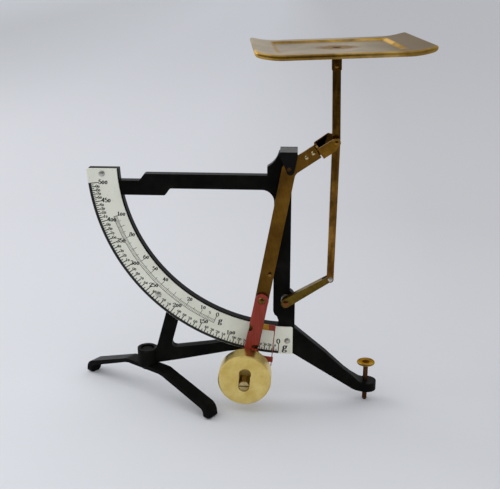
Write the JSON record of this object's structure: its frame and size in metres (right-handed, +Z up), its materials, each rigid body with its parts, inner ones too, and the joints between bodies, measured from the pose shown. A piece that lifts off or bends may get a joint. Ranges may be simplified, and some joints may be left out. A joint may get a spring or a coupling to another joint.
{
  "type": "postal scale",
  "caption": "Quadrant letter balance: cast frame, printed arc, two-armed lever, fold-up disc weight, level pan on a parallel link, swivelling foot and levelling screw.",
  "frame": {"origin": "middle of the footprint, on the table", "axes": "+X to the right towards the pan, +Y away from the reader across the thin side, +Z up"},
  "size_m": [0.228, 0.1031, 0.2437],
  "materials": {
    "black_enamel": "gloss black enamel",
    "white_enamel": "gloss off-white enamel with a black edge",
    "dark_steel": "dark oiled steel",
    "bright_steel": "bright steel",
    "brown_steel": "brown, aged steel",
    "red_paint": "dark red paint",
    "aged_brass": "aged brown brass",
    "bright_brass": "polished brass",
    "pan_brass": "satin brass sheet, a little tarnished"
  },
  "bodies": {
    "frame": {"frame_casting": "black_enamel", "bearing_bracket": "black_enamel", "bracket_screws": "dark_steel", "bearing_bush": "aged_brass", "scale_plate": "white_enamel", "scale_plate_rivets": "bright_steel", "link_collar": "bright_steel", "link_stud": "brown_steel"},
    "foot": {"cross_foot": "black_enamel", "foot_pivot_pin": "black_enamel", "foot_washer": "black_enamel"},
    "screw": {"levelling_screw": "brown_steel", "levelling_knob": "bright_brass"},
    "lever": {"main_lever": "aged_brass", "lever_hub": "aged_brass", "lever_axle": "dark_steel", "yoke": "aged_brass", "yoke_rivets": "aged_brass", "rod_pin": "dark_steel", "rod_spacers": "aged_brass", "pointer_frame": "red_paint", "pointer_rivets": "aged_brass", "pointer_hair": "red_paint", "fold_screw": "bright_brass", "fold_washer": "bright_brass", "fold_nut": "bright_brass", "fold_stop_pin": "bright_brass", "rest_stop_pin": "bright_brass"},
    "weight": {"weight_arm": "red_paint", "disc_weight": "bright_brass", "weight_stud": "bright_steel", "weight_nut": "bright_brass"},
    "rod": {"load_rod": "aged_brass", "rod_rivet": "bright_steel", "pan_stem": "aged_brass", "stem_rivet": "aged_brass", "pan": "pan_brass", "pan_rivet": "pan_brass"},
    "link": {"lower_link": "aged_brass"}
  },
  "joints": [
    {"name": "load_swing", "type": "hinge", "parent": "frame", "child": "lever", "pos_m": [0.03312, 0.0093, 0.1642], "axis": [0, 1, 0], "range_deg": [-3.8, 81]},
    {"name": "rod_level", "type": "hinge", "parent": "lever", "child": "rod", "pos_m": [0.0617, 0, 0.18206], "axis": [0, 1, 0], "range_deg": [-81.5, 4.3]},
    {"name": "link_swing", "type": "hinge", "parent": "frame", "child": "link", "pos_m": [0.03202, 0, 0.0738], "axis": [0, 1, 0], "range_deg": [-4.3, 81.5]},
    {"name": "weight_fold", "type": "hinge", "parent": "lever", "child": "weight", "pos_m": [0.01635, -0.0022, 0.07547], "axis": [0, 1, 0], "range_deg": [0, 166.9]},
    {"name": "foot_swivel", "type": "hinge", "parent": "frame", "child": "foot", "pos_m": [-0.06268, 0.0093, 0.0231], "axis": [0, 0, 1], "range_deg": [-55, 34.5]},
    {"name": "levelling", "type": "slide", "parent": "frame", "child": "screw", "axis": [0, 0, 1], "range_m": [-0.007, 0.008]}
  ],
  "couplings": [
    {"joint": "rod_level", "follows": "load_swing", "ratio": -1},
    {"joint": "link_swing", "follows": "load_swing", "ratio": 1}
  ]
}
